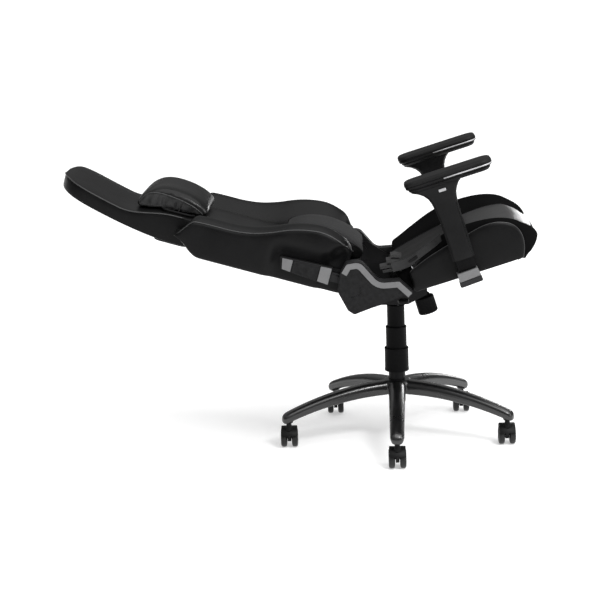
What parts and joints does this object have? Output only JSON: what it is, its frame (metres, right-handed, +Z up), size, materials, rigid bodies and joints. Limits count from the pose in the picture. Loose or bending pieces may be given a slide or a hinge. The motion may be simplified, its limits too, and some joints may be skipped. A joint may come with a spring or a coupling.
{
  "type": "gaming chair",
  "caption": "Racing-style gaming chair in black faux leather, rocked back and fully reclined, with head pillow, lumbar cushion, adjustable armrests and a star base on casters.",
  "frame": {"origin": "on the floor, under the middle of the reclined chair's bounding box", "axes": "+X the way the sitter faces, +Y the sitter's left, +Z up"},
  "size_m": [1.3408, 0.7061, 0.8737],
  "materials": {
    "powder_coat": "satin black powder coat",
    "dark_steel": "dark grey painted steel",
    "bright_steel": "bright ground steel",
    "silver": "brushed silver grey",
    "black_plastic": "matte black, fine moulded grain",
    "cover_plastic": "matte charcoal, fine moulded grain",
    "soft_pad": "soft polyurethane skin",
    "tread": "black nylon with a polyurethane tread",
    "faux_leather": "black faux leather over foam, fine grain",
    "suede": "dark grey brushed faux suede over foam",
    "webbing": "woven elastic webbing"
  },
  "bodies": {
    "base": {"star_base": "powder_coat", "gas_cylinder": "dark_steel", "sleeve_lower": "black_plastic"},
    "cover_middle": {"sleeve_middle": "black_plastic"},
    "lift": {"sleeve_upper": "black_plastic", "piston_rod": "bright_steel"},
    "swivel": {"tilt_housing": "powder_coat", "rocking_pin": "bright_steel"},
    "height_lever": {"height_lever": "black_plastic"},
    "seat": {"seat_plate": "dark_steel", "tension_bolt": "bright_steel", "tension_spring": "bright_steel", "seat_frame": "dark_steel", "seat_webbing": "webbing", "seat_cushion": "faux_leather", "seat_bolster_right": "faux_leather", "seat_bolster_left": "faux_leather", "recliner_lower_right": "dark_steel", "recliner_lower_left": "dark_steel", "recliner_pin_right": "bright_steel", "recliner_pin_left": "bright_steel", "hinge_cover_right": "cover_plastic", "hinge_cover_left": "cover_plastic", "hinge_accent_right": "silver", "hinge_accent_left": "silver", "armrest_bracket_right": "silver", "armrest_bracket_left": "silver", "armrest_post_right": "black_plastic", "armrest_post_left": "black_plastic"},
    "tension_knob": {"tension_knob": "black_plastic"},
    "backrest": {"back_frame": "dark_steel", "backrest_front_pad": "faux_leather", "backrest_rear_pad": "faux_leather", "back_wing_right": "faux_leather", "back_wing_left": "faux_leather", "harness_bezel_right": "black_plastic", "harness_bezel_left": "black_plastic", "recliner_upper_right": "dark_steel", "recliner_upper_left": "dark_steel"},
    "head_pillow": {"head_pillow": "faux_leather"},
    "lumbar_cushion": {"lumbar_cushion": "suede"},
    "recline_lever": {"recline_lever": "black_plastic"},
    "caster_1": {"caster_housing_1": "black_plastic"},
    "wheels_1": {"caster_wheels_1": "tread"},
    "caster_2": {"caster_housing_2": "black_plastic"},
    "wheels_2": {"caster_wheels_2": "tread"},
    "caster_3": {"caster_housing_3": "black_plastic"},
    "wheels_3": {"caster_wheels_3": "tread"},
    "caster_4": {"caster_housing_4": "black_plastic"},
    "wheels_4": {"caster_wheels_4": "tread"},
    "caster_5": {"caster_housing_5": "black_plastic"},
    "wheels_5": {"caster_wheels_5": "tread"},
    "armrest_right": {"armrest_sleeve_right": "black_plastic"},
    "armrest_button_right": {"armrest_button_right": "silver"},
    "armrest_turn_right": {"armrest_pad_base_right": "black_plastic"},
    "armrest_pad_right": {"armrest_pad_right": "soft_pad"},
    "armrest_left": {"armrest_sleeve_left": "black_plastic"},
    "armrest_button_left": {"armrest_button_left": "silver"},
    "armrest_turn_left": {"armrest_pad_base_left": "black_plastic"},
    "armrest_pad_left": {"armrest_pad_left": "soft_pad"}
  },
  "joints": [
    {"name": "caster_swivel_1", "type": "hinge", "parent": "base", "child": "caster_1", "pos_m": [0.25448, -0.33483, 0.08], "axis": [0, 0, 1], "continuous": true},
    {"name": "wheel_spin_1", "type": "hinge", "parent": "caster_1", "child": "wheels_1", "pos_m": [0.25448, -0.31783, 0.02864], "axis": [1, 0, 0], "continuous": true},
    {"name": "caster_swivel_2", "type": "hinge", "parent": "base", "child": "caster_2", "pos_m": [0.5802, -0.11348, 0.08], "axis": [0, 0, 1], "continuous": true},
    {"name": "wheel_spin_2", "type": "hinge", "parent": "caster_2", "child": "wheels_2", "pos_m": [0.5802, -0.09648, 0.02864], "axis": [1, 0, 0], "continuous": true},
    {"name": "caster_swivel_3", "type": "hinge", "parent": "base", "child": "caster_3", "pos_m": [0.47032, 0.2647, 0.08], "axis": [0, 0, 1], "continuous": true},
    {"name": "wheel_spin_3", "type": "hinge", "parent": "caster_3", "child": "wheels_3", "pos_m": [0.47032, 0.2817, 0.02864], "axis": [1, 0, 0], "continuous": true},
    {"name": "caster_swivel_4", "type": "hinge", "parent": "base", "child": "caster_4", "pos_m": [0.0767, 0.27707, 0.08], "axis": [0, 0, 1], "continuous": true},
    {"name": "wheel_spin_4", "type": "hinge", "parent": "caster_4", "child": "wheels_4", "pos_m": [0.0767, 0.29407, 0.02864], "axis": [1, 0, 0], "continuous": true},
    {"name": "caster_swivel_5", "type": "hinge", "parent": "base", "child": "caster_5", "pos_m": [-0.0567, -0.09346, 0.08], "axis": [0, 0, 1], "continuous": true},
    {"name": "wheel_spin_5", "type": "hinge", "parent": "caster_5", "child": "wheels_5", "pos_m": [-0.0567, -0.07646, 0.02864], "axis": [1, 0, 0], "continuous": true},
    {"name": "gas_lift", "type": "slide", "parent": "base", "child": "lift", "axis": [0, 0, 1], "range_m": [-0.08, 0]},
    {"name": "cover_middle_slide", "type": "slide", "parent": "base", "child": "cover_middle", "axis": [0, 0, 1], "range_m": [-0.04, 0]},
    {"name": "seat_swivel", "type": "hinge", "parent": "lift", "child": "swivel", "pos_m": [0.265, 0, 0.44], "axis": [0, 0, 1], "continuous": true},
    {"name": "height_lever_lift", "type": "hinge", "parent": "swivel", "child": "height_lever", "pos_m": [0.265, -0.046, 0.449], "axis": [-1, 0, 0], "range_deg": [0, 3.5], "stiffness_Nm_per_rad": 2},
    {"name": "seat_rock", "type": "hinge", "parent": "swivel", "child": "seat", "pos_m": [0.295, 0, 0.455], "axis": [0, 1, 0], "range_deg": [0, 16.5]},
    {"name": "tension_knob_turn", "type": "hinge", "parent": "seat", "child": "tension_knob", "pos_m": [0.34541, 0, 0.43447], "axis": [-0.284, 0, 0.9588], "range_deg": [-360, 360]},
    {"name": "backrest_recline", "type": "hinge", "parent": "seat", "child": "backrest", "pos_m": [0.16035, 0, 0.51524], "axis": [0, 1, 0], "range_deg": [0, 57]},
    {"name": "recline_lever_pull", "type": "hinge", "parent": "backrest", "child": "recline_lever", "pos_m": [0.16035, 0, 0.51524], "axis": [0, 1, 0], "range_deg": [0, 16], "stiffness_Nm_per_rad": 3},
    {"name": "head_pillow_slide", "type": "slide", "parent": "backrest", "child": "head_pillow", "axis": [-0.9588, 0, 0.284], "range_m": [-0.05, 0.05]},
    {"name": "lumbar_slide", "type": "slide", "parent": "backrest", "child": "lumbar_cushion", "axis": [-0.9588, 0, 0.284], "range_m": [0, 0.1]},
    {"name": "armrest_height_right", "type": "slide", "parent": "seat", "child": "armrest_right", "axis": [-0.284, 0, 0.9588], "range_m": [-0.028, 0.05]},
    {"name": "armrest_button_press_right", "type": "slide", "parent": "armrest_right", "child": "armrest_button_right", "axis": [0, 1, 0], "range_m": [0, 0.002], "stiffness_N_per_m": 300},
    {"name": "armrest_pad_turn_right", "type": "hinge", "parent": "armrest_right", "child": "armrest_turn_right", "pos_m": [0.38604, -0.303, 0.79902], "axis": [-0.284, 0, 0.9588], "range_deg": [-25, 25]},
    {"name": "armrest_pad_slide_right", "type": "slide", "parent": "armrest_turn_right", "child": "armrest_pad_right", "axis": [0.9588, 0, 0.284], "range_m": [-0.03, 0.03]},
    {"name": "armrest_height_left", "type": "slide", "parent": "seat", "child": "armrest_left", "axis": [-0.284, 0, 0.9588], "range_m": [-0.028, 0.05]},
    {"name": "armrest_button_press_left", "type": "slide", "parent": "armrest_left", "child": "armrest_button_left", "axis": [0, -1, 0], "range_m": [0, 0.002], "stiffness_N_per_m": 300},
    {"name": "armrest_pad_turn_left", "type": "hinge", "parent": "armrest_left", "child": "armrest_turn_left", "pos_m": [0.38604, 0.303, 0.79902], "axis": [-0.284, 0, 0.9588], "range_deg": [-25, 25]},
    {"name": "armrest_pad_slide_left", "type": "slide", "parent": "armrest_turn_left", "child": "armrest_pad_left", "axis": [0.9588, 0, 0.284], "range_m": [-0.03, 0.03]}
  ],
  "couplings": [
    {"joint": "cover_middle_slide", "follows": "gas_lift", "ratio": 0.5}
  ]
}
